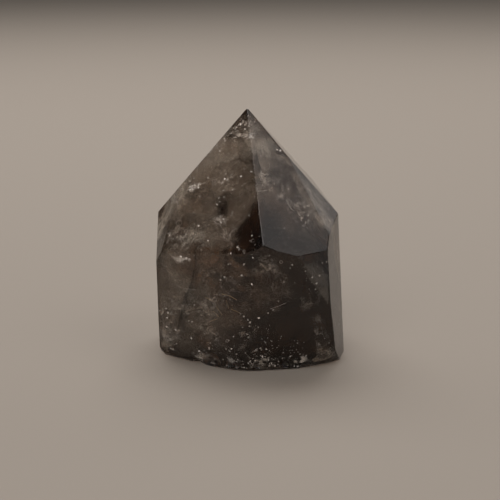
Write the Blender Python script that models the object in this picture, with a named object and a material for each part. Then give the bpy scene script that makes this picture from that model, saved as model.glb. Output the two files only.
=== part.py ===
# Smoky quartz point: one natural crystal, ground and polished by hand, standing on its cut base.
#
# The stone is made the way a lapidary makes it. A block is cut back one flat face at a time, the
# rim of the base is rounded, every other edge is broken by a hair, and then the chips that such a
# stone picks up round its foot are knocked out of it.
#
# Metres, +Z up. The front of the stone faces -Y and its tip points up. The finished solid stands on
# Z = 0 with the middle of its bounding box over the origin.

import math
import random
from collections import namedtuple

import bmesh
import bpy
from mathutils import Matrix, Vector, noise

# Driving dimensions

HEIGHT = 0.080  # from the cut base to where the tip's faces meet
BLOCK = 0.160  # the rough block, larger than the stone every way
RIM_ROUND = 0.0014  # width of the rounding round the base
RIM_SEGMENTS = 3
EDGE_BREAK = 0.00035  # width of the hairline on every other edge
EDGE_SEGMENTS = 2
EDGE_BREAK_START = 0.0007  # the hairlines run from just over the base, clear of its rounding
EDGE_BREAK_REACH = 0.0028  # and an edge counts as one of theirs if it reaches this high
SHARP_ANGLE = math.radians(9.0)  # flatter turns than this are left as they are
SMOOTH_ANGLE = math.radians(20.0)
LEVEL_BASE = -0.999  # upward part of a normal that looks straight down
MERGE = 0.000002
SMOKE_COLOUR = (0.075, 0.055, 0.042, 1.0)
POLISH = 0.06  # roughness of the polished faces

# Faces of the termination, which meet at the tip: bearing from the front towards the right, and how
# far the face looks up from the horizontal, both in degrees. Quartz grows them at 38.2 degrees, and
# the polishing wheel has moved each one by a few.
TIP_FACES = {
    "front_left": (-31.9, 34.7),
    "front_right": (25.9, 41.0),
    "right": (94.0, 40.9),
    "back_right": (154.0, 38.8),
    "back_left": (-157.0, 37.4),
    "left": (-98.1, 40.2),
}

# Faces that miss the tip: bearing, tilt, and distance from the foot of the tip's plumb line.
SIDE_FACES = {
    "shoulder_right": (67.5, 38.6, 0.05256),
    "shoulder_left": (-74.9, 24.4, 0.04366),
    "front_left": (-27.3, 0.2, 0.02928),
    "front": (9.6, -4.5, 0.03124),
    "front_right": (27.9, 7.8, 0.04078),
    "right": (75.7, 5.2, 0.03467),
    "back_right": (113.0, -1.5, 0.02380),
    "back": (161.0, 1.6, 0.02260),
    "back_left": (-141.0, 0.9, 0.02420),
    "left": (-88.7, -1.0, 0.02917),
    "heel_left": (-34.8, -11.0, 0.02833),
    "heel_right": (27.0, -31.6, 0.02840),
}

# The front edge of the body is rolled round on the wheel, as a run of narrow flats.
ROLLED_EDGE = ("front_left", "front")
ROLL_RADIUS = 0.020
ROLL_FLATS = 5

# Chips: a shell-shaped break for each. They sit at a bearing and a height over the base, and dip
# says how far the blow came from below. Squash flattens the hollow along the edge.
Chip = namedtuple("Chip", "bearing height radius bite squash dip")
CHIPS = {
    "front_left": Chip(-23.0, 0.0026, 0.0075, 0.0012, 0.80, 0.25),
    "front_left_step": Chip(-33.5, 0.0002, 0.0032, 0.0015, 0.90, 0.65),
    "left_corner": Chip(-62.5, 0.0012, 0.0038, 0.0014, 0.85, 0.65),
    "right_corner": Chip(53.0, 0.0006, 0.0042, 0.0009, 0.85, 0.65),
    "right_gap": Chip(33.0, 0.0008, 0.0036, 0.0011, 0.85, 0.50),
    "back_corner": Chip(171.0, 0.0002, 0.0056, 0.0018, 0.80, 0.65),
    "back_left_edge": Chip(-112.0, 0.0002, 0.0040, 0.0013, 0.90, 0.65),
}
CHIP_RINGS = 3
CHIP_PHASE = 1.7  # turns the ribs of each chip a little further than those of the one before
RIB_HEIGHT = 0.035  # these four are in parts of a chip's radius
RIB_COUNT = 5.0
GRIT_HEIGHT = 0.05
GRIT_SCALE = 2.6

# Pits: a scatter of pinprick breaks along the front of the rim.
PIT_COUNT = 7
PIT_SPAN = (-14.0, 28.0)
PIT_RADIUS = (0.0012, 0.0022)
PIT_HEIGHT = 0.0036
PIT_BITE = 0.26
PIT_SQUASH = 0.7
PIT_DIP = 0.3
PIT_SEED = 17


def clear_scene():
    for old in list(bpy.data.objects):
        bpy.data.objects.remove(old, do_unlink=True)


def facing(bearing, tilt):
    turn = math.radians(bearing)
    lift = math.radians(tilt)
    return Vector((
        math.sin(turn) * math.cos(lift),
        -math.cos(turn) * math.cos(lift),
        math.sin(lift),
    ))


def grind(bm, point, normal):
    """Cuts away everything beyond a plane and closes the stone with one flat face."""
    cut = bmesh.ops.bisect_plane(
        bm,
        geom=bm.verts[:] + bm.edges[:] + bm.faces[:],
        dist=MERGE,
        plane_co=point,
        plane_no=normal,
        clear_outer=True,
    )
    rim = [item for item in cut["geom_cut"] if isinstance(item, bmesh.types.BMEdge)]
    bmesh.ops.contextual_create(bm, geom=rim)
    bmesh.ops.recalc_face_normals(bm, faces=bm.faces[:])


def is_rim(edge):
    """True for an edge between the cut base and a side."""
    downward = [face.normal.z < LEVEL_BASE for face in edge.link_faces]
    return any(downward) and not all(downward)


def is_sharp(edge):
    """True for an edge that stands out on the stone above the rounded rim."""
    heights = [v.co.z for v in edge.verts]
    above_rim = min(heights) > EDGE_BREAK_START and max(heights) > EDGE_BREAK_REACH
    return above_rim and edge.calc_face_angle(0.0) > SHARP_ANGLE


def side_plane(name):
    bearing, tilt, distance = SIDE_FACES[name]
    normal = facing(bearing, tilt)
    return normal * distance, normal


def roll_edge(bm, names, radius, flats):
    """Turns the edge between two sides into narrow flats that all touch one round."""
    (point_a, normal_a), (point_b, normal_b) = (side_plane(name) for name in names)
    level = Vector((0.0, 0.0, 1.0))
    foot = Matrix((normal_a, normal_b, level)).inverted() @ Vector((
        normal_a.dot(point_a), normal_b.dot(point_b), 0.0,
    ))
    half_turn = normal_a.angle(normal_b) / 2
    centre = foot - (normal_a + normal_b).normalized() * radius / math.cos(half_turn)
    for step in range(1, flats):
        normal = normal_a.slerp(normal_b, step / flats)
        grind(bm, centre + normal * radius, normal)


def cut_stone():
    """The faceted body, from a block to a point with broken edges."""
    bm = bmesh.new()
    bmesh.ops.create_cube(bm, size=BLOCK)
    bmesh.ops.translate(bm, verts=bm.verts[:], vec=(0.0, 0.0, BLOCK / 2))

    tip = Vector((0.0, 0.0, HEIGHT))
    for bearing, tilt in TIP_FACES.values():
        grind(bm, tip, facing(bearing, tilt))
    for name in SIDE_FACES:
        grind(bm, *side_plane(name))
    roll_edge(bm, ROLLED_EDGE, ROLL_RADIUS, ROLL_FLATS)
    bmesh.ops.remove_doubles(bm, verts=bm.verts[:], dist=MERGE)

    rim = [edge for edge in bm.edges if is_rim(edge)]
    bmesh.ops.bevel(
        bm,
        geom=rim,
        offset=RIM_ROUND,
        affect="EDGES",
        segments=RIM_SEGMENTS,
        profile=0.5,
        material=-1,
        clamp_overlap=True,
    )
    sharp = [edge for edge in bm.edges if is_sharp(edge)]
    bmesh.ops.bevel(
        bm,
        geom=sharp,
        offset=EDGE_BREAK,
        affect="EDGES",
        segments=EDGE_SEGMENTS,
        profile=0.5,
        material=-1,
        clamp_overlap=True,
    )
    return bm


def smoky_quartz():
    material = bpy.data.materials.new("smoky_quartz")
    material.use_nodes = True
    shader = material.node_tree.nodes["Principled BSDF"]
    shader.inputs["Base Color"].default_value = SMOKE_COLOUR
    shader.inputs["Roughness"].default_value = POLISH
    shader.inputs["Metallic"].default_value = 0.0
    return material


def new_object(name, bm):
    mesh = bpy.data.meshes.new(name)
    bm.to_mesh(mesh)
    bm.free()
    thing = bpy.data.objects.new(name, mesh)
    bpy.context.collection.objects.link(thing)
    return thing


def surface_point(stone, bearing, height):
    """Where a level line from far outside, along a bearing, first meets the stone."""
    outward = facing(bearing, 0.0)
    start = outward * BLOCK + Vector((0.0, 0.0, height))
    found, point, normal, _ = stone.ray_cast(start, -outward)
    if not found:
        raise ValueError("no stone at bearing %s" % bearing)
    return point, normal


def ribbed_ball(radius, squash, phase):
    """A ball with the faint ribs and roughness of a shell-shaped break."""
    bm = bmesh.new()
    bmesh.ops.create_icosphere(bm, subdivisions=CHIP_RINGS, radius=1.0)
    blow = Vector((0.0, 0.0, 1.0))
    for v in bm.verts:
        rib = RIB_HEIGHT * math.sin((v.co - blow).length * RIB_COUNT * math.pi + phase)
        grit = GRIT_HEIGHT * noise.noise(v.co * GRIT_SCALE + Vector((phase, 0.0, 0.0)))
        v.co *= 1.0 + rib + grit
    bmesh.ops.scale(bm, verts=bm.verts[:], vec=(radius, radius * squash, radius))
    return bm


def knock_out(stone, name, chip, phase):
    """Cuts one chip with a ball that reaches the given depth into the stone."""
    point, outward = surface_point(stone, chip.bearing, chip.height)
    aim = (outward - Vector((0.0, 0.0, chip.dip))).normalized()
    turn = aim.to_track_quat("Z", "Y").to_matrix().to_4x4()
    place = Matrix.Translation(point + aim * (chip.radius - chip.bite)) @ turn
    bm = ribbed_ball(chip.radius, chip.squash, phase)
    bmesh.ops.transform(bm, matrix=place, verts=bm.verts[:])
    bmesh.ops.recalc_face_normals(bm, faces=bm.faces[:])
    cutter = new_object(name, bm)
    cutter.parent = stone
    cutter.hide_render = True
    cutter.display_type = "WIRE"
    cut = stone.modifiers.new(name, "BOOLEAN")
    cut.operation = "DIFFERENCE"
    cut.solver = "EXACT"
    cut.object = cutter


def chip_base(stone):
    for count, (name, chip) in enumerate(CHIPS.items()):
        knock_out(stone, "chip_" + name, chip, CHIP_PHASE * count)


def pit_rim(stone):
    draw = random.Random(PIT_SEED)
    step = (PIT_SPAN[1] - PIT_SPAN[0]) / PIT_COUNT
    for count in range(PIT_COUNT):
        bearing = PIT_SPAN[0] + step * (count + draw.random())
        height = PIT_HEIGHT * draw.random() ** 2
        radius = draw.uniform(*PIT_RADIUS)
        pit = Chip(bearing, height, radius, radius * PIT_BITE, PIT_SQUASH, PIT_DIP)
        knock_out(stone, "pit_%d" % count, pit, float(count))


def centre_over_origin(stone):
    """Puts the middle of the finished solid's bounding box over the origin, chips and all."""
    bpy.context.view_layer.update()
    corners = stone.evaluated_get(bpy.context.evaluated_depsgraph_get()).bound_box
    xs = [corner[0] for corner in corners]
    ys = [corner[1] for corner in corners]
    stone.location = (-(min(xs) + max(xs)) / 2, -(min(ys) + max(ys)) / 2, 0.0)


def main():
    clear_scene()
    stone = new_object("smoky_quartz_point", cut_stone())
    stone.data.materials.append(smoky_quartz())
    stone.data.shade_smooth()
    stone.data.set_sharp_from_angle(angle=SMOOTH_ANGLE)
    bpy.context.view_layer.update()
    chip_base(stone)
    pit_rim(stone)
    centre_over_origin(stone)


main()
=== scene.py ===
import math
import random

import bmesh
import bpy
from mathutils import Matrix, Vector, noise
from mathutils.bvhtree import BVHTree


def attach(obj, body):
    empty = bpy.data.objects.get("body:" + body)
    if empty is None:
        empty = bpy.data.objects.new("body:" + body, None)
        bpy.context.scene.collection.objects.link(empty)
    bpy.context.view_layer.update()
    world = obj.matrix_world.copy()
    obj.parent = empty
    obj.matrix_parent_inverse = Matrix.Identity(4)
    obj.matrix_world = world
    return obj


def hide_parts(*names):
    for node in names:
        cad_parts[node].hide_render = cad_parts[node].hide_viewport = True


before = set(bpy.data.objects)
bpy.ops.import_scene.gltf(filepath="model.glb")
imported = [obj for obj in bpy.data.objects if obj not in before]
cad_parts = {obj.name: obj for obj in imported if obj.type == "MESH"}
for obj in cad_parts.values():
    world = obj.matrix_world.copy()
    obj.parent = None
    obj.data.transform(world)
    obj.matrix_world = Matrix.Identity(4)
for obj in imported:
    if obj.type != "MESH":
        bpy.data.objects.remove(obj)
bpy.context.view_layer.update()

# A hand-polished smoky quartz point. The stone is ground off a block with the same planes as the
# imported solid, then the veils, flecks, needles and smoke that show through its faces are laid inside.

stoneNode = "smoky_quartz_point"
mm = 0.001
up = Vector((0.0, 0.0, 1.0))


def facing(bearing, tilt):  # bearing from the front towards the right, tilt up from the level
    turn, lift = math.radians(bearing), math.radians(tilt)
    return Vector((math.sin(turn) * math.cos(lift), -math.cos(turn) * math.cos(lift), math.sin(lift)))


def newPiece(name, bm, material):
    mesh = bpy.data.meshes.new(name)
    bm.to_mesh(mesh)
    bm.free()
    if material:
        mesh.materials.append(material)
    piece = bpy.data.objects.new(name, mesh)
    bpy.context.scene.collection.objects.link(piece)
    return piece


def rideStone(piece):
    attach(piece, "root")
    print("placed", piece.name, len(piece.data.polygons), "faces")


def turnTo(way):  # a matrix that turns straight up to this way
    return way.to_track_quat("Z", "Y").to_matrix().to_4x4()


def lookOf(normal):  # yaw from the front and pitch above the level, in degrees
    return math.degrees(math.atan2(normal.x, -normal.y)), math.degrees(math.asin(normal.z))


def plainMaterial(name, look):
    material = bpy.data.materials.new(name)
    material.use_nodes = True
    shader = material.node_tree.nodes["Principled BSDF"]
    shader.inputs["Base Color"].default_value = look["colour"]
    shader.inputs["Roughness"].default_value = look["roughness"]
    shader.inputs["Metallic"].default_value = look.get("metallic", 0.0)
    return material


# The camera stands where the photograph was taken from.

shot = {
    "lens": 90.0,
    "sensor": 36.0,
    "frame": 500,
    "aim": Vector((-0.06, 3.89, 31.77)) * mm,
    "elevation": 15.52,
    "distance": 420.0 * mm,
    "clip": (0.01, 50.0),
}


def addCamera():
    camera = bpy.data.objects.new("camera", bpy.data.cameras.new("camera"))
    camera.data.lens = shot["lens"]
    camera.data.sensor_width = shot["sensor"]
    camera.data.clip_start, camera.data.clip_end = shot["clip"]
    back = facing(0.0, shot["elevation"])
    camera.location = shot["aim"] + back * shot["distance"]
    camera.rotation_euler = (-back).to_track_quat("-Z", "Y").to_euler()
    bpy.context.scene.collection.objects.link(camera)
    bpy.context.scene.camera = camera


# The stone, cut face by face. Faces of the tip are bearing and tilt, and meet at the tip. The others
# add their distance from the foot of the tip's plumb line, in millimetres.

stone = {
    "height": 80.0,
    "block": 160.0,
    "tipFaces": [(-31.9, 34.7), (25.9, 41.0), (94.0, 40.9), (154.0, 38.8), (-157.0, 37.4), (-98.1, 40.2)],
    "sideFaces": {
        "shoulderRight": (67.5, 38.6, 52.56),
        "shoulderLeft": (-74.9, 24.4, 43.66),
        "frontLeft": (-27.3, 0.2, 29.28),
        "front": (9.6, -4.5, 31.24),
        "frontRight": (27.9, 7.8, 40.78),
        "right": (75.7, 5.2, 34.67),
        "backRight": (113.0, -1.5, 23.80),
        "back": (161.0, 1.6, 22.60),
        "backLeft": (-141.0, 0.9, 24.20),
        "left": (-88.7, -1.0, 29.17),
        "heelLeft": (-34.8, -11.0, 28.33),
        "heelRight": (27.0, -31.6, 28.40),
    },
    "rollRadius": 20.0,
    "rollFlats": 20,
    "rimRound": 1.4,
    "rimSegments": 4,
    "edgeBreak": 0.22,
    "edgeSegments": 3,
    "edgeStart": 0.7,
    "edgeReach": 2.8,
    "sharpTurn": 9.0,
    "weld": 0.002,
    "baseNormal": -0.999,
    "fit": 0.998,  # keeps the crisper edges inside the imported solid's box
    "smoothTurn": 1.0,
    "ior": 1.544,
    "smoke": (0.42, 0.30, 0.20, 1.0),
    "smokeDensity": 90.0,
    "polish": 0.012,
    "frostRoughness": 0.42,
    "frostDepth": 0.35,
    "lampPass": (0.9, 0.9, 0.9, 1.0),
}

# Chips round the foot: bearing, height, radius of the shell-shaped break, bite, squash and dip.
chips = {
    "shells": [
        (-23.0, 2.6, 7.5, 1.2, 0.80, 0.25),
        (-33.5, 0.2, 3.2, 1.5, 0.90, 0.65),
        (-62.5, 1.2, 3.8, 1.4, 0.85, 0.65),
        (53.0, 0.6, 4.2, 0.9, 0.85, 0.65),
        (33.0, 0.8, 3.6, 1.1, 0.85, 0.50),
        (171.0, 0.2, 5.6, 1.8, 0.80, 0.65),
        (-112.0, 0.2, 4.0, 1.3, 0.90, 0.65),
    ],
    "rings": 5,
    "phase": 1.7,
    "ribHeight": 0.035,
    "ribCount": 5.0,
    "gritHeight": 0.05,
    "gritScale": 2.6,
    "pits": 7,
    "pitSpan": (-14.0, 28.0),
    "pitRadius": (1.2, 2.2),
    "pitHeight": 3.6,
    "pitBite": 0.26,
    "pitSquash": 0.7,
    "pitDip": 0.3,
    "pitSeed": 17,
}


def stonePlanes():  # each as a point and the outward normal, before the stone is centred
    tip = up * stone["height"] * mm
    planes = [(tip, facing(*face)) for face in stone["tipFaces"]]
    for bearing, tilt, distance in stone["sideFaces"].values():
        normal = facing(bearing, tilt)
        planes.append((normal * distance * mm, normal))
    return planes


def rollPlanes():
    (bearingA, tiltA, distanceA), (bearingB, tiltB, distanceB) = (
        stone["sideFaces"]["frontLeft"], stone["sideFaces"]["front"])
    normalA, normalB = facing(bearingA, tiltA), facing(bearingB, tiltB)
    corner = Matrix((normalA, normalB, up)).inverted() @ Vector((distanceA * mm, distanceB * mm, 0.0))
    radius = stone["rollRadius"] * mm
    centre = corner - (normalA + normalB).normalized() * radius / math.cos(normalA.angle(normalB) / 2)
    turns = [normalA.slerp(normalB, step / stone["rollFlats"]) for step in range(1, stone["rollFlats"])]
    return [(centre + normal * radius, normal) for normal in turns]


def grind(bm, point, normal):
    cut = bmesh.ops.bisect_plane(bm, geom=bm.verts[:] + bm.edges[:] + bm.faces[:], dist=stone["weld"] * mm,
                                 plane_co=point, plane_no=normal, clear_outer=True)
    rim = [item for item in cut["geom_cut"] if isinstance(item, bmesh.types.BMEdge)]
    bmesh.ops.contextual_create(bm, geom=rim)


def breakEdges(bm, edges, width, segments):
    bmesh.ops.bevel(bm, geom=edges, offset=width * mm, offset_type="OFFSET", affect="EDGES",
                    segments=segments, profile=0.5, material=-1, clamp_overlap=True)


def isRim(edge):
    onBase = [face.normal.z < stone["baseNormal"] for face in edge.link_faces]
    return any(onBase) and not all(onBase)


def isSharp(edge):
    heights = [v.co.z for v in edge.verts]
    clear = min(heights) > stone["edgeStart"] * mm and max(heights) > stone["edgeReach"] * mm
    return clear and edge.calc_face_angle(0.0) > math.radians(stone["sharpTurn"])


def cutBody():
    bm = bmesh.new()
    bmesh.ops.create_cube(bm, size=stone["block"] * mm)
    bmesh.ops.translate(bm, verts=bm.verts[:], vec=up * stone["block"] * mm / 2)
    for point, normal in stonePlanes() + rollPlanes():
        grind(bm, point, normal)
    bmesh.ops.remove_doubles(bm, verts=bm.verts[:], dist=stone["weld"] * mm)
    bmesh.ops.recalc_face_normals(bm, faces=bm.faces[:])
    breakEdges(bm, [edge for edge in bm.edges if isRim(edge)], stone["rimRound"], stone["rimSegments"])
    breakEdges(bm, [edge for edge in bm.edges if isSharp(edge)], stone["edgeBreak"], stone["edgeSegments"])
    return newPiece("crystal", bm, None)


def ribbedBall(radius, squash, phase, rings):
    bm = bmesh.new()
    bmesh.ops.create_icosphere(bm, subdivisions=rings, radius=1.0)
    for v in bm.verts:
        rib = chips["ribHeight"] * math.sin((v.co - up).length * chips["ribCount"] * math.pi + phase)
        grit = chips["gritHeight"] * noise.noise(v.co * chips["gritScale"] + Vector((phase, 0.0, 0.0)))
        v.co *= 1.0 + rib + grit
    bmesh.ops.scale(bm, verts=bm.verts[:], vec=Vector((radius, radius * squash, radius)) * mm)
    return bm


def knockOut(crystal, chip, phase, rings):
    bearing, height, radius, bite, squash, dip = chip
    outward = facing(bearing, 0.0)
    start = outward * stone["block"] * mm + up * height * mm
    found, point, normal, index = crystal.ray_cast(start, -outward)
    aim = (normal - up * dip).normalized()
    place = Matrix.Translation(point + aim * (radius - bite) * mm) @ turnTo(aim)
    bm = ribbedBall(radius, squash, phase, rings)
    bmesh.ops.transform(bm, matrix=place, verts=bm.verts[:])
    bmesh.ops.recalc_face_normals(bm, faces=bm.faces[:])
    cutter = newPiece("cutter", bm, None)
    cut = crystal.modifiers.new("chip", "BOOLEAN")
    cut.operation = "DIFFERENCE"
    cut.solver = "EXACT"
    cut.object = cutter
    return cutter


def chipBase(crystal):
    cutters = [knockOut(crystal, chip, chips["phase"] * count, chips["rings"])
               for count, chip in enumerate(chips["shells"])]
    draw = random.Random(chips["pitSeed"])
    first, last = chips["pitSpan"]
    step = (last - first) / chips["pits"]
    for count in range(chips["pits"]):
        bearing = first + step * (count + draw.random())
        height = chips["pitHeight"] * draw.random() ** 2
        radius = draw.uniform(*chips["pitRadius"])
        pit = (bearing, height, radius, radius * chips["pitBite"], chips["pitSquash"], chips["pitDip"])
        cutters.append(knockOut(crystal, pit, float(count), chips["rings"] - 1))
    bpy.context.view_layer.update()
    solid = crystal.evaluated_get(bpy.context.evaluated_depsgraph_get())
    crystal.data = bpy.data.meshes.new_from_object(solid)
    crystal.modifiers.clear()
    for cutter in cutters:
        bpy.data.objects.remove(cutter)


def boxCentre(piece):
    xs, ys = [v.co.x for v in piece.data.vertices], [v.co.y for v in piece.data.vertices]
    return Vector(((min(xs) + max(xs)) / 2, (min(ys) + max(ys)) / 2, 0.0))


def markFrost(crystal, planes):  # 0 on the polished faces, 1 deep in a chip
    frost = crystal.data.attributes.new("frost", "FLOAT", "POINT")
    full = stone["frostDepth"] * mm
    for v, value in zip(crystal.data.vertices, frost.data):
        depth = min((point - v.co).dot(normal) for point, normal in planes)
        depth = min(depth, v.co.z + full / 4)  # the cut base is frosted only a little
        value.value = min(1.0, max(0.0, depth / full))


def cutStone():
    crystal = cutBody()
    chipBase(crystal)
    place = Matrix.Scale(stone["fit"], 4) @ Matrix.Translation(-boxCentre(crystal))
    crystal.data.transform(place)
    planes = [(place @ point, normal) for point, normal in stonePlanes() + rollPlanes()]
    markFrost(crystal, planes)
    crystal.data.materials.clear()
    crystal.data.materials.append(stoneMaterial())
    crystal.data.shade_smooth()
    crystal.data.set_sharp_from_angle(angle=math.radians(stone["smoothTurn"]))
    return crystal, planes


def stoneMaterial():
    material = bpy.data.materials.new("smokyQuartz")
    material.use_nodes = True
    nodes, links = material.node_tree.nodes, material.node_tree.links
    shader, output = nodes["Principled BSDF"], nodes["Material Output"]
    shader.inputs["Base Color"].default_value = (1.0, 1.0, 1.0, 1.0)
    shader.inputs["Transmission Weight"].default_value = 1.0
    shader.inputs["IOR"].default_value = stone["ior"]

    frost = nodes.new("ShaderNodeAttribute")
    frost.attribute_name = "frost"
    rough = nodes.new("ShaderNodeMapRange")
    rough.inputs["To Min"].default_value = stone["polish"]
    rough.inputs["To Max"].default_value = stone["frostRoughness"]
    links.new(frost.outputs["Fac"], rough.inputs["Value"])
    links.new(rough.outputs["Result"], shader.inputs["Roughness"])

    body = nodes.new("ShaderNodeVolumeAbsorption")
    body.inputs["Color"].default_value = stone["smoke"]
    body.inputs["Density"].default_value = stone["smokeDensity"]
    links.new(body.outputs["Volume"], output.inputs["Volume"])

    # Lamps shine straight through the skin, so the veils inside and the table behind are lit softly.
    path = nodes.new("ShaderNodeLightPath")
    clear = nodes.new("ShaderNodeBsdfTransparent")
    clear.inputs["Color"].default_value = stone["lampPass"]
    mix = nodes.new("ShaderNodeMixShader")
    links.new(path.outputs["Is Shadow Ray"], mix.inputs["Fac"])
    links.new(shader.outputs["BSDF"], mix.inputs[1])
    links.new(clear.outputs["BSDF"], mix.inputs[2])
    links.new(mix.outputs["Shader"], output.inputs["Surface"])
    return material


# What lies inside is placed by the pixel of the photograph where it shows, at a depth under the face.

inside = {
    "pixel": 0.33,  # millimetres on the stone to a pixel of the photograph
    "weld": 0.0001,
    "chipSkin": 0.25,
}


def searchTree(piece):
    bm = bmesh.new()
    bm.from_mesh(piece.data)
    tree = BVHTree.FromBMesh(bm)
    bm.free()
    return tree


def seenAt(column, row, depth):
    camera = bpy.context.scene.camera
    turn = camera.rotation_euler.to_matrix()
    half = shot["frame"] / 2
    focal = shot["lens"] / shot["sensor"] * shot["frame"]
    ray = (turn @ Vector(((column - half) / focal, (half - row) / focal, -1.0))).normalized()
    point, normal, index, distance = stoneTree.ray_cast(camera.location, ray)
    if point is None:
        raise ValueError("no stone at pixel %s, %s" % (column, row))
    ratio = 1.0 / stone["ior"]
    cosine = -normal.dot(ray)
    bent = ray * ratio + normal * (ratio * cosine - math.sqrt(1.0 - ratio ** 2 * (1.0 - cosine ** 2)))
    return point + bent * depth * mm


def keepInside(bm, skin):
    basePlane = (Vector((0.0, 0.0, 0.0)), -up)
    for point, normal in facePlanes + [basePlane]:
        bmesh.ops.bisect_plane(bm, geom=bm.verts[:] + bm.edges[:] + bm.faces[:], dist=inside["weld"] * mm,
                               plane_co=point - normal * skin * mm, plane_no=normal, clear_outer=True)
    # What would lie bare in a chip's hollow goes too.
    bare = [v for v in bm.verts if depthUnder(v.co) < min(skin, inside["chipSkin"]) * mm]
    bmesh.ops.delete(bm, geom=bare, context="VERTS")


def depthUnder(point):
    near, normal, index, distance = stoneTree.find_nearest(point)
    return (near - point).dot(normal)


# A point under the stone's skin, in from a bearing and a height, and the way the skin there looks.
def behindFace(bearing, height, depth):
    outward = facing(bearing, 0.0)
    plumb = facePlanes[0][0].copy()  # the tip, where the first faces meet
    plumb.z = height * mm
    start = plumb + outward * stone["block"] * mm
    skin, normal, index, distance = stoneTree.ray_cast(start, -outward)
    if skin is None:  # the line slipped through between two faces
        skin, normal, index, distance = stoneTree.find_nearest(start)
    return skin - normal * depth * mm, *lookOf(normal)


# Veils are curved sheets that fade to a ragged edge. Those the photograph doesn't show are scattered.
veil = {
    "cuts": 22,
    "seedStep": (3.7, 1.3, 0.7),
    "edgeWave": 0.35,
    "edgeScale": 1.7,
    "edgeGrit": 0.2,
    "gritScale": 4.0,
    "cup": 0.5,
    "swellScale": 1.3,
    "ripple": 0.3,
    "rippleScale": 3.1,
    "tintBand": (0.35, 0.65),
    "bearings": (60, 320),
    "heights": (5, 62),
    "spins": (-40, 40),
    "yaws": (-15, 15),
    "pitches": (-5, 20),
    "bend": 0.5,
    "powers": (0.5, 1.0),
    "seedGap": 3,
}


# Width and height are in pixels. Spin turns the sheet in its own plane, yaw and pitch from the front.
def addSheet(bm, layer, centre, sheet, seed):
    width, height, spin, yaw, pitch, bend, strength = sheet
    made = bmesh.ops.create_grid(bm, x_segments=veil["cuts"], y_segments=veil["cuts"], size=1.0)["verts"]
    spot = Vector([seed * step for step in veil["seedStep"]])
    for v in made:
        wave = veil["edgeWave"] * noise.noise(v.co.normalized() * veil["edgeScale"] + spot)
        grit = veil["edgeGrit"] * noise.noise(v.co * veil["gritScale"] + spot)
        v[layer] = strength * max(0.0, 1.0 - (v.co.length / (1.0 + wave + grit)) ** 2)
        swell = noise.noise(v.co * veil["swellScale"] + spot)
        ripple = veil["ripple"] * noise.noise(v.co * veil["rippleScale"] + spot)
        v.co.z = bend * (veil["cup"] * v.co.x ** 2 + swell + ripple)
    halfWidth = width * inside["pixel"] * mm / 2
    halfHeight = height * inside["pixel"] * mm / 2
    size = Matrix.Diagonal((halfWidth, halfHeight, max(halfWidth, halfHeight) / 2, 1.0))
    tilt = (Matrix.Rotation(math.radians(yaw), 4, "Z") @ Matrix.Rotation(math.radians(90.0 - pitch), 4, "X")
            @ Matrix.Rotation(math.radians(spin), 4, "Z"))
    bmesh.ops.transform(bm, matrix=Matrix.Translation(centre) @ tilt @ size, verts=made)


def scatterSheets(bm, layer, look):
    draw = random.Random(look["seed"])
    for count in range(look["scatter"]):
        bearing = draw.uniform(*veil["bearings"])
        height = draw.uniform(*veil["heights"])
        centre, yaw, pitch = behindFace(bearing, height, draw.uniform(*look["depths"]))
        width = draw.uniform(*look["sizes"])
        height = draw.uniform(*look["sizes"])
        spin = draw.uniform(*veil["spins"])
        yaw += draw.uniform(*veil["yaws"])
        pitch += draw.uniform(*veil["pitches"])
        strength = draw.uniform(*veil["powers"]) * look["power"]
        sheet = (width, height, spin, yaw, pitch, veil["bend"], strength)
        addSheet(bm, layer, centre, sheet, look["seed"] * veil["seedGap"] + count)


# Wisps break a sheet's strength into threads and grains.
wisps = {
    "sockets": {"Scale": 400.0, "Low": 0.4, "High": 0.7, "Grain": 0.3},
    "detail": 6.0,
    "roughness": 0.62,
    "distortion": 0.8,
    "grainDetail": 3.0,
    "grainScale": 3500.0,
    "grainBand": (0.45, 0.62),
}


def wispGroup():
    group = bpy.data.node_groups.new("wisps", "ShaderNodeTree")
    for name, value in wisps["sockets"].items():
        socket = group.interface.new_socket(name, in_out="INPUT", socket_type="NodeSocketFloat")
        socket.default_value = value
    group.interface.new_socket("Mask", in_out="OUTPUT", socket_type="NodeSocketFloat")
    nodes, links = group.nodes, group.links
    fill, out = nodes.new("NodeGroupInput"), nodes.new("NodeGroupOutput")
    place = nodes.new("ShaderNodeTexCoord")
    threads = nodes.new("ShaderNodeTexNoise")
    threads.inputs["Detail"].default_value = wisps["detail"]
    threads.inputs["Roughness"].default_value = wisps["roughness"]
    threads.inputs["Distortion"].default_value = wisps["distortion"]
    links.new(place.outputs["Object"], threads.inputs["Vector"])
    links.new(fill.outputs["Scale"], threads.inputs["Scale"])
    band = nodes.new("ShaderNodeMapRange")
    band.interpolation_type = "SMOOTHSTEP"
    links.new(threads.outputs["Fac"], band.inputs["Value"])
    links.new(fill.outputs["Low"], band.inputs["From Min"])
    links.new(fill.outputs["High"], band.inputs["From Max"])
    grain = nodes.new("ShaderNodeTexNoise")
    grain.inputs["Detail"].default_value = wisps["grainDetail"]
    grain.inputs["Scale"].default_value = wisps["grainScale"]
    links.new(place.outputs["Object"], grain.inputs["Vector"])
    spots = nodes.new("ShaderNodeMapRange")
    spots.inputs["From Min"].default_value, spots.inputs["From Max"].default_value = wisps["grainBand"]
    links.new(grain.outputs["Fac"], spots.inputs["Value"])
    blend = nodes.new("ShaderNodeMix")
    blend.data_type = "FLOAT"
    blend.inputs["A"].default_value = 1.0
    links.new(fill.outputs["Grain"], blend.inputs["Factor"])
    links.new(spots.outputs["Result"], blend.inputs["B"])
    both = nodes.new("ShaderNodeMath")
    both.operation = "MULTIPLY"
    links.new(band.outputs["Result"], both.inputs[0])
    links.new(blend.outputs["Result"], both.inputs[1])
    links.new(both.outputs["Value"], out.inputs["Mask"])
    return group


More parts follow.
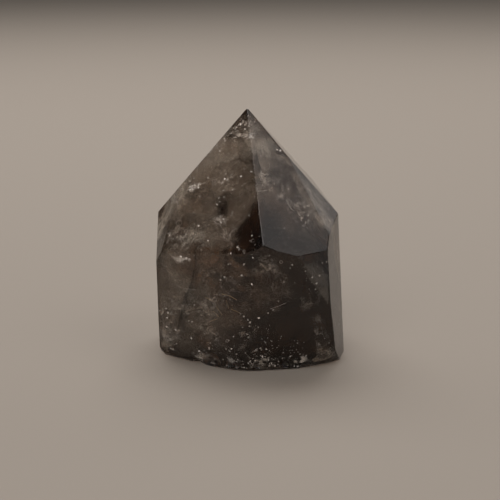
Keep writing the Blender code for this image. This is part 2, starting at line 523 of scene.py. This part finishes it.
def veilMaterial(name, look):
    material = bpy.data.materials.new(name)
    material.use_nodes = True
    nodes, links = material.node_tree.nodes, material.node_tree.links
    shader = nodes["Principled BSDF"]
    shader.inputs["Roughness"].default_value = look["roughness"]
    shader.inputs["Specular IOR Level"].default_value = look["shine"]
    breakUp = nodes.new("ShaderNodeGroup")
    breakUp.node_tree = wispTree
    for socket in wisps["sockets"]:
        breakUp.inputs[socket].default_value = look[socket.lower()]
    density = nodes.new("ShaderNodeAttribute")
    density.attribute_name = "veil"
    alpha = nodes.new("ShaderNodeMath")
    alpha.operation = "MULTIPLY"
    alpha.use_clamp = True
    links.new(density.outputs["Fac"], alpha.inputs[0])
    links.new(breakUp.outputs["Mask"], alpha.inputs[1])
    links.new(alpha.outputs["Value"], shader.inputs["Alpha"])
    tint = nodes.new("ShaderNodeTexNoise")
    tint.inputs["Scale"].default_value = look["tintScale"]
    place = nodes.new("ShaderNodeTexCoord")
    links.new(place.outputs["Object"], tint.inputs["Vector"])
    colours = nodes.new("ShaderNodeMix")
    colours.data_type = "RGBA"
    colours.inputs["A"].default_value = (*look["colours"][0], 1.0)
    colours.inputs["B"].default_value = (*look["colours"][1], 1.0)
    spread = nodes.new("ShaderNodeMapRange")
    spread.inputs["From Min"].default_value, spread.inputs["From Max"].default_value = veil["tintBand"]
    links.new(tint.outputs["Fac"], spread.inputs["Value"])
    links.new(spread.outputs["Result"], colours.inputs["Factor"])
    links.new(colours.outputs["Result"], shader.inputs["Base Color"])
    return material


def addVeils(name, look, sheets):
    bm = bmesh.new()
    layer = bm.verts.layers.float.new("veil")
    for count, (column, row, depth, *sheet) in enumerate(sheets):
        addSheet(bm, layer, seenAt(column, row, depth), sheet, look["seed"] + count)
    scatterSheets(bm, layer, look)
    keepInside(bm, look["skin"])
    piece = newPiece(name, bm, veilMaterial(name, look))
    piece.data.shade_smooth()
    rideStone(piece)


# Haze: the cloudy body of the stone. Each sheet is column, row, depth, width, height, spin, yaw,
# pitch, bend and strength. Columns, rows and sizes are in pixels of the photograph.
# The sheets under the shoulder faces are painted sheen: they light those faces as their reflections do.

haze = {
    "look": {
        "seed": 3, "skin": 0.9, "roughness": 0.8, "shine": 0.1, "scale": 230.0, "low": 0.30, "high": 0.68,
        "grain": 0.5, "tintScale": 110.0, "colours": ((0.62, 0.58, 0.50), (0.46, 0.39, 0.31)),
        "scatter": 14, "depths": (4, 9), "sizes": (70, 120), "power": 1.0,
    },
    "sheets": [
        (208, 200, 6, 110, 135, -20, -32, 35, 0.35, 0.95),
        (232, 160, 4, 70, 90, 15, -32, 35, 0.35, 0.85),
        (244, 135, 2.5, 50, 50, 15, -10, 38, 0.2, 0.4),
        (222, 190, 9, 100, 90, 60, -32, 35, 0.3, 0.9),
        (212, 225, 5, 80, 60, 0, -32, 35, 0.3, 0.7),
        (205, 240, 2.0, 90, 26, 0, -32, 35, 0.1, 0.4),
        (176, 272, 3, 46, 80, 0, -27, 0, 0.2, 0.8),
        # painted sheen: lightens the right shoulder face
        (308, 190, 2.2, 36, 70, 38, 67, 38, 0.1, 0.7),
        (188, 300, 6, 80, 120, 0, -27, 5, 0.35, 0.8),
        (212, 290, 9, 80, 110, 30, -20, 10, 0.5, 0.5),
        (218, 322, 6, 110, 50, 0, -5, 20, 0.4, 0.5),
        (290, 205, 6, 70, 120, 30, 26, 41, 0.35, 0.35),
        (266, 150, 3, 40, 90, 30, 26, 41, 0.3, 0.6),
        # painted sheen: lightens the outer band of the right shoulder face
        (320, 215, 2.5, 30, 60, 35, 60, 40, 0.2, 0.75),
        (275, 285, 9, 80, 80, 0, 10, 5, 0.4, 0.35),
        (185, 250, 14, 70, 120, 0, -50, 10, 0.5, 0.9),
        # painted sheen: lightens the band of the left shoulder face
        (163, 225, 1.8, 20, 70, 0, -74, 24, 0.1, 1.5),
        (175, 200, 3, 40, 50, 35, -50, 30, 0.2, 1.3),
        (165, 337, 2, 40, 30, 0, -40, 5, 0.2, 1.0),
        (320, 358, 1.6, 40, 24, 0, 27, -10, 0.2, 1.3),
        # painted sheen: lightens the band of the left shoulder face
        (160, 222, 1.2, 26, 70, 0, -74, 24, 0.05, 1.6),
        (272, 366, 1.0, 64, 10, 2, 5, -15, 0.05, 0.6),
    ],
}

# Cloud: the soft fog deep under the left faces, which hides what lies behind it, and a thin patch of it
# low on the right.
cloud = {
    "look": {
        "seed": 90, "skin": 0.9, "roughness": 0.9, "shine": 0.0, "scale": 120.0, "low": 0.10, "high": 0.50,
        "grain": 0.15, "tintScale": 90.0, "colours": ((0.40, 0.37, 0.32), (0.27, 0.23, 0.185)),
        "scatter": 8, "depths": (7, 11), "sizes": (70, 120), "power": 1.2,
    },
    "sheets": [
        (208, 196, 8, 120, 130, -42, -32, 35, 0.15, 2.0),
        (228, 168, 6, 80, 90, -42, -32, 35, 0.15, 2.0),
        (190, 230, 8, 100, 90, -20, -32, 25, 0.15, 1.8),
        (186, 290, 9, 100, 150, 0, -27, 3, 0.15, 1.2),
        (216, 325, 9, 110, 60, 0, -10, 3, 0.15, 0.4),
        (320, 284, 1.3, 26, 78, 32, 28, 8, 0.04, 0.35),
    ],
}

# Milky veils: healed cracks full of tiny bubbles.
milk = {
    "look": {
        "seed": 23, "skin": 0.7, "roughness": 0.7, "shine": 0.2, "scale": 420.0, "low": 0.44, "high": 0.64,
        "grain": 0.55, "tintScale": 90.0, "colours": ((0.86, 0.84, 0.80), (0.74, 0.68, 0.58)),
        "scatter": 24, "depths": (2, 7), "sizes": (15, 60), "power": 1.4,
    },
    "sheets": [
        (226, 181, 4, 30, 26, 10, -20, 30, 0.5, 1.6),
        (192, 238, 3, 16, 40, -20, -25, 20, 0.6, 1.2),
        (226, 230, 4, 16, 42, 40, -25, 25, 0.6, 1.5),
        (238, 230, 3, 12, 24, 5, -20, 15, 0.6, 1.0),
        (205, 205, 8, 60, 60, 20, -30, 30, 0.6, 0.8),
        (190, 270, 5, 56, 50, 10, -20, 25, 0.7, 0.9),
        (225, 275, 6, 60, 44, -20, -10, 20, 0.7, 0.45),
        (196, 310, 5, 70, 50, 15, -15, 35, 0.7, 1.0),
        (225, 330, 5, 70, 40, -10, -5, 35, 0.7, 0.9),
        (215, 300, 4, 50, 30, 25, -10, 20, 0.6, 1.0),
        (258, 290, 9, 60, 60, 25, 0, 30, 0.7, 0.4),
        (284, 285, 7, 44, 30, -30, 15, 25, 0.7, 0.45),
        (268, 180, 4, 22, 36, -8, 26, 40, 0.5, 0.8),
        (300, 215, 5, 24, 40, 25, 26, 40, 0.5, 0.9),
        (265, 268, 4, 28, 24, 30, 0, 20, 0.6, 0.8),
        (260, 356, 3, 26, 18, 5, 0, 40, 0.6, 1.4),
        (205, 358, 2, 26, 12, -20, -15, 40, 0.5, 1.6),
        (172, 330, 4, 26, 40, 5, -25, 25, 0.5, 0.9),
        (243, 136, 1.6, 30, 22, -8, -20, 74, 0.25, 1.1),
        (251, 136, 1.0, 5, 12, 5, 0, 20, 0.3, 1.8),
        (192, 188, 2.5, 18, 11, 15, -30, 30, 0.5, 1.5),
        (181, 259, 2.5, 22, 12, -4, -27, 15, 0.6, 1.4),
        (262, 150, 2.5, 18, 16, 0, 26, 40, 0.5, 0.6),
        (264, 178, 2.5, 16, 26, -5, 26, 40, 0.4, 0.9),
        (240, 150, 4, 34, 26, 10, -32, 35, 0.5, 0.8),
        (208, 362, 1.2, 30, 9, -22, -25, 20, 0.5, 2.2),
        (262, 362, 1.2, 40, 8, 2, 5, 20, 0.5, 0.8),
        (232, 360, 1.5, 20, 8, -8, -10, 20, 0.5, 0.7),
        (300, 360, 1.2, 18, 9, 10, 15, 20, 0.5, 1.6),
        (170, 350, 1.5, 22, 9, -10, -40, 20, 0.5, 1.3),
        (319, 333, 2.5, 18, 44, 10, 20, 15, 0.6, 0.5),
        (310, 300, 3, 30, 24, 30, 20, 15, 0.6, 0.45),
        (286, 196, 3, 30, 60, 20, 26, 41, 0.5, 0.5),
        (306, 205, 2.5, 14, 40, 35, 26, 41, 0.5, 0.6),
    ],
}

# Rust: iron-stained cracks, which give the orange-brown clouds.
rust = {
    "look": {
        "seed": 50, "skin": 0.7, "roughness": 0.8, "shine": 0.1, "scale": 200.0, "low": 0.36, "high": 0.66,
        "grain": 0.3, "tintScale": 120.0, "colours": ((0.19, 0.112, 0.066), (0.31, 0.205, 0.135)),
        "scatter": 5, "depths": (4, 8), "sizes": (30, 70), "power": 0.9,
    },
    "sheets": [
        (214, 240, 5, 50, 34, 10, -20, 25, 0.6, 0.6),
        (222, 258, 3, 70, 40, -10, -15, 5, 0.3, 1.1),
        (190, 262, 3, 50, 40, 10, -27, 5, 0.3, 0.8),
        (180, 225, 5, 30, 40, 15, -30, 25, 0.6, 0.8),
        (208, 340, 5, 50, 20, -15, -5, 30, 0.6, 0.8),
        (206, 275, 4, 50, 50, 10, -20, 10, 0.4, 1.0),
        (240, 285, 6, 90, 70, 0, 0, 5, 0.3, 0.7),
    ],
}

# Smoke: darker bands of the natural colour, some under the skin and some in the heart of the stone.
# A few sheets under the skin are painted shade: the dark block by the ridge, the dark patch below the
# sheen of the right tip face, and the darker top of that face.
smoke = {
    "look": {
        "seed": 70, "skin": 0.9, "roughness": 1.0, "shine": 0.0, "scale": 60.0, "low": 0.15, "high": 0.45,
        "grain": 0.0, "tintScale": 60.0, "colours": ((0.020, 0.009, 0.004), (0.046, 0.024, 0.012)),
        "scatter": 5, "depths": (8, 14), "sizes": (60, 120), "power": 1.2,
    },
    "sheets": [
        # painted shade: the dark block beside the ridge, under the left tip face
        (251, 228, 3, 26, 60, 4, -32, 35, 0.2, 1.2),
        (246, 236, 2.4, 28, 40, 0, -32, 35, 0.1, 1.3),
        (321, 240, 1.6, 8, 30, 25, 60, 38, 0.1, 1.0),
        (222, 210, 7, 18, 26, 15, -32, 20, 0.4, 1.0),
        (300, 325, 6, 90, 70, 10, 15, 5, 0.3, 1.2),
        (256, 324, 5, 26, 34, 10, 0, 15, 0.4, 0.9),
        # painted shade: the dark patch just below the right tip face's sheen
        (308, 259, 1.2, 18, 12, 20, 27, 10, 0.1, 1.3),
        (300, 284, 1.6, 22, 56, 28, 15, 5, 0.1, 1.1),
        (275, 340, 7, 120, 34, -5, 0, 10, 0.4, 1.1),
        # painted shade: holds back the light from behind under the top of the right tip face
        (278, 170, 5, 44, 110, 38, 26, 41, 0.1, 0.7),
        (275, 280, 12, 110, 80, 0, 10, 5, 0.3, 1.0),
        (300, 330, 14, 110, 90, 0, 15, 5, 0.2, 1.6),
    ],
}


# Flecks: broken bits of old cracks that flash. Most are scattered in patches, more of them low down.
# The rest are small clusters, each with its column, row, depth and size.

flecks = {
    "tries": 9000,
    "seed": 11,
    "size": (0.07, 0.52),
    "rarity": 3.2,  # how much fewer the large ones are
    "corners": (3, 4, 5),
    "ragged": (0.5, 1.2),
    "narrow": (0.3, 1.0),
    "depths": (0.6, 3.2),
    "skin": 0.3,
    "settle": 1.4,
    "top": 0.95,
    "patches": 110.0,
    "clearPatches": 0.3,  # fewer in the clear part, right of and above these
    "clearRight": 4.0,
    "clearAbove": 12.0,
    "glints": 0.5,
    "glintWay": (0.2, -9.0, 29.8, 7.0),  # share of the face's turn, yaw, pitch and spread
    "crumbs": 7,
    "crumbSizes": (0.15, 0.5),
    "crumbSpread": 0.5,
    "colour": (0.95, 0.92, 0.86, 1.0),
    "roughness": 0.25,
    "metallic": 0.6,
    "clusters": [
        (191, 188, 1.6, 1.1), (194, 189, 1.7, 1.2), (197, 187, 1.8, 1.3), (199, 184, 1.8, 0.8),
        (190, 190, 1.6, 0.9),
        (183, 259, 2, 1.0), (186, 259, 2, 0.8), (190, 260, 2, 0.9), (179, 259, 2, 0.6), (181, 257, 2, 0.8),
        (208, 178, 2, 0.5), (226, 174, 2, 0.5), (222, 183, 2, 0.6), (228, 179, 2, 0.7), (200, 196, 2, 0.5),
        (259, 153, 2, 0.6), (261, 156, 2, 0.5), (265, 181, 2, 0.5), (233, 190, 2, 0.5), (217, 205, 2, 0.5),
        (295, 283, 2, 0.6), (309, 289, 2, 0.7), (302, 286, 2, 0.5), (327, 262, 2, 0.5), (270, 268, 2, 0.6),
        (238, 247, 2, 0.7), (192, 322, 2, 0.6),
        (189, 321, 2, 0.5), (192, 338, 2, 0.7), (177, 344, 2, 0.6), (265, 342, 2, 0.6), (283, 353, 2, 0.5),
        (304, 289, 2, 0.7), (307, 291, 2, 0.5), (292, 265, 2, 0.5), (290, 268, 2, 0.5), (269, 270, 3, 0.5),
        (278, 301, 3, 0.5), (273, 310, 3, 0.5), (268, 313, 3, 0.5), (306, 356, 2, 0.6), (303, 359, 2, 0.6),
        (298, 366, 1, 0.5), (259, 145, 3, 0.4), (262, 146, 3, 0.4), (270, 167, 3, 0.3), (251, 136, 2, 0.6),
        (256, 350, 2, 0.7), (262, 356, 2, 0.8), (268, 360, 2, 0.6), (250, 362, 2, 0.5), (284, 282, 3, 0.5),
    ],
}


# The way a fleck looks that throws the front light back out through a face of this yaw and pitch.
def glintWay(yaw, pitch, draw):
    follow, middleYaw, middlePitch, spread = flecks["glintWay"]
    glintYaw = middleYaw + follow * yaw + draw.gauss(0, spread)
    glintPitch = middlePitch + follow * pitch + draw.gauss(0, spread)
    return facing(glintYaw, glintPitch)


def addFleck(bm, centre, size, draw, way):
    corners = draw.choice(flecks["corners"])
    made = bmesh.ops.create_circle(bm, cap_ends=True, segments=corners, radius=1.0)["verts"]
    for v in made:
        v.co *= draw.uniform(*flecks["ragged"])
    way = way or Vector([draw.gauss(0, 1) for axis in range(3)]).normalized()
    turn = turnTo(way) @ Matrix.Rotation(draw.uniform(0, math.tau), 4, "Z")
    narrow = Matrix.Diagonal((size * mm, size * mm * draw.uniform(*flecks["narrow"]), size * mm, 1.0))
    bmesh.ops.transform(bm, matrix=Matrix.Translation(centre) @ turn @ narrow, verts=made)


def scatterFlecks(bm, draw):
    small, large = flecks["size"]
    for attempt in range(flecks["tries"]):
        height = stone["height"] * draw.random() ** flecks["settle"] * flecks["top"]
        point, yaw, pitch = behindFace(draw.uniform(-180, 180), height, draw.uniform(*flecks["depths"]))
        inClear = point.x > flecks["clearRight"] * mm and point.z > flecks["clearAbove"] * mm
        if noise.noise(point * flecks["patches"]) > (flecks["clearPatches"] if inClear else 0.0):
            way = glintWay(yaw, pitch, draw) if draw.random() < flecks["glints"] else None
            size = small + (large - small) * draw.random() ** flecks["rarity"]
            addFleck(bm, point, size, draw, way)


def clusterFlecks(bm, draw):
    for column, row, depth, size in flecks["clusters"]:
        for crumb in range(flecks["crumbs"]):
            jitter = Vector([draw.uniform(-1, 1) for axis in range(3)]) * size * flecks["crumbSpread"] * mm
            point = seenAt(column, row, depth) + jitter
            near, normal, index, distance = stoneTree.find_nearest(point)
            crumbSize = size * draw.uniform(*flecks["crumbSizes"])
            addFleck(bm, point, crumbSize, draw, glintWay(*lookOf(normal), draw))


def addFlecks():
    draw = random.Random(flecks["seed"])
    bm = bmesh.new()
    scatterFlecks(bm, draw)
    clusterFlecks(bm, draw)
    keepInside(bm, flecks["skin"])
    rideStone(newPiece("flecks", bm, plainMaterial("flecks", flecks)))


# Needles and hairline cracks: each is a line through pixels, with its depth and thickness.

needles = {
    "sides": 6,
    "gold": {
        "colour": (0.80, 0.62, 0.34, 1.0), "roughness": 0.35,
        "lines": [
            (3.0, 0.16, [(222, 294), (230, 296), (237, 300)]),
            (2.6, 0.11, [(216, 306), (222, 315)]),
            (2.8, 0.10, [(213, 311), (219, 317)]),
            (3.2, 0.10, [(226, 300), (229, 309)]),
            (3.0, 0.09, [(205, 297), (214, 302)]),
            (2.5, 0.10, [(231, 309), (240, 313)]),
            (3.0, 0.09, [(209, 322), (217, 319)]),
            (2.6, 0.12, [(236, 250), (241, 244)]),
        ],
    },
    "white": {
        "colour": (0.90, 0.88, 0.84, 1.0), "roughness": 0.4,
        "lines": [
            (1.6, 0.14, [(233, 138), (241, 136), (247, 134)]),
            (1.4, 0.12, [(249, 134), (255, 133)]),
            (2.0, 0.12, [(258, 191), (263, 191), (267, 190)]),
            (2.4, 0.05, [(304, 285), (308, 288), (311, 292)]),
            (2.4, 0.06, [(197, 226), (195, 237), (190, 245)]),
            (2.2, 0.06, [(219, 223), (224, 231), (231, 237)]),
            (2.0, 0.11, [(200, 351), (206, 357), (213, 361)]),
            (1.8, 0.10, [(206, 352), (213, 358), (221, 361)]),
            (2.4, 0.06, [(270, 309), (279, 306), (286, 303)]),
            (2.6, 0.05, [(176, 285), (184, 289), (199, 290)]),
        ],
    },
}


def addNeedles(name, look):
    bm = bmesh.new()
    for depth, thick, corners in look["lines"]:
        spots = [seenAt(column, row, depth) for column, row in corners]
        for start, end in zip(spots, spots[1:]):
            along = end - start
            wideEnd, thinEnd = thick * mm / 2, thick * mm / 3
            bmesh.ops.create_cone(bm, cap_ends=True, segments=needles["sides"], radius1=wideEnd,
                                  radius2=thinEnd, depth=along.length,
                                  matrix=Matrix.Translation((start + end) / 2) @ turnTo(along))
    rideStone(newPiece(name, bm, plainMaterial(name, look)))


# Bubbles: little round voids, which show as rings. Column, row, depth and radius.

bubbles = {
    "thickness": 0.10,
    "around": 8,
    "steps": 24,
    "weld": 0.001,
    "colour": (0.62, 0.59, 0.54, 1.0),
    "roughness": 0.3,
    "rings": [
        (253, 241, 2.5, 0.65), (179, 223, 2.5, 1.0), (176, 246, 2.5, 0.75), (186, 231, 3.0, 0.5),
        (281, 262, 2.5, 0.45), (244, 251, 2.0, 0.35), (203, 245, 3.0, 0.4), (227, 341, 2.5, 0.4),
    ],
}


def addBubbles():
    bm = bmesh.new()
    thick = bubbles["thickness"] * mm
    toCamera = bpy.context.scene.camera.rotation_euler.to_matrix().to_4x4()
    for column, row, depth, radius in bubbles["rings"]:
        placed = set(bm.verts)
        made = bmesh.ops.create_circle(bm, segments=bubbles["around"], radius=thick / 2)["verts"]
        bmesh.ops.rotate(bm, verts=made, cent=(0, 0, 0), matrix=Matrix.Rotation(math.radians(90), 3, "X"))
        bmesh.ops.translate(bm, verts=made, vec=(radius * mm, 0, 0))
        edges = [edge for edge in bm.edges if edge.verts[0] not in placed]
        bmesh.ops.spin(bm, geom=made + edges, cent=(0, 0, 0), axis=(0, 0, 1), angle=math.tau,
                       steps=bubbles["steps"], use_merge=True)
        ring = [v for v in bm.verts if v not in placed]
        bmesh.ops.transform(bm, matrix=Matrix.Translation(seenAt(column, row, depth)) @ toCamera, verts=ring)
    bmesh.ops.remove_doubles(bm, verts=bm.verts[:], dist=bubbles["weld"] * mm)
    bmesh.ops.recalc_face_normals(bm, faces=bm.faces[:])
    rideStone(newPiece("bubbles", bm, plainMaterial("bubbles", bubbles)))


# A table to stand on, a dim room and seven soft lamps.

studio = {
    "floor": {"size": 6.0, "colour": (0.43, 0.39, 0.34, 1.0), "roughness": 0.8},
    "middle": Vector((0.0, 0.0, 40.0)) * mm,
    "world": (0.06, 0.057, 0.055, 1.0),
    "lampColour": (1.0, 0.938, 0.905),
    "boxes": {
        "rightCard": {"bearing": 58.0, "height": 7.6, "distance": 0.45, "size": (0.5, 0.2), "power": 0.07},
        "ridgeStrip": {"bearing": -16.0, "height": 69.0, "distance": 1.2, "size": (0.28, 0.22), "power": 0.5},
        "leftStrip": {"bearing": -131.0, "height": 29.0, "distance": 1.0, "size": (0.35, 0.3), "power": 0.35},
        "sideSoftbox": {"bearing": 73.0, "height": 55.0, "distance": 1.1, "size": (0.7, 0.7), "power": 1.3},
        "lowSoftbox": {"bearing": 136.5, "height": 17.5, "distance": 1.0, "size": (0.5, 0.4), "power": 0.35},
        "skySoftbox": {"bearing": 190.0, "height": 56.0, "distance": 1.3, "size": (1.3, 0.9), "power": 11.5},
        "frontSoftbox": {"bearing": -25.0, "height": 48.0, "distance": 1.3, "size": (0.8, 0.8), "power": 3.6},
    },
}


def addFloor():
    bm = bmesh.new()
    bmesh.ops.create_grid(bm, x_segments=1, y_segments=1, size=studio["floor"]["size"])
    newPiece("floor", bm, plainMaterial("floor", studio["floor"]))


def addLights():
    world = bpy.data.worlds.new("studioWorld")
    world.use_nodes = True
    world.node_tree.nodes["Background"].inputs["Color"].default_value = studio["world"]
    bpy.context.scene.world = world
    for name, box in studio["boxes"].items():
        lamp = bpy.data.lights.new(name, "AREA")
        lamp.shape = "RECTANGLE"
        lamp.size, lamp.size_y = box["size"]
        lamp.energy = box["power"]
        lamp.color = studio["lampColour"]
        towards = facing(box["bearing"], box["height"])
        light = bpy.data.objects.new(name, lamp)
        light.location = studio["middle"] + towards * box["distance"]
        light.rotation_euler = (-towards).to_track_quat("-Z", "Y").to_euler()
        bpy.context.scene.collection.objects.link(light)


def setLook():
    scene = bpy.context.scene
    scene.view_settings.view_transform = "Standard"
    cycles = scene.cycles
    cycles.max_bounces = 24
    cycles.glossy_bounces = 12
    cycles.transmission_bounces = 24
    cycles.transparent_max_bounces = 64


addCamera()
addLights()
addFloor()
setLook()
print("camera, lamps and floor are set")

crystal, facePlanes = cutStone()
stoneTree = searchTree(crystal)
rideStone(crystal)
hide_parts(stoneNode)

wispTree = wispGroup()
addVeils("deepCloud", cloud["look"], cloud["sheets"])
addVeils("hazeAndPaintedSheen", haze["look"], haze["sheets"])
addVeils("milkyVeils", milk["look"], milk["sheets"])
addVeils("rustyVeils", rust["look"], rust["sheets"])
addVeils("smokeAndPaintedShade", smoke["look"], smoke["sheets"])
addFlecks()
addNeedles("goldNeedles", needles["gold"])
addNeedles("hairlines", needles["white"])
addBubbles()
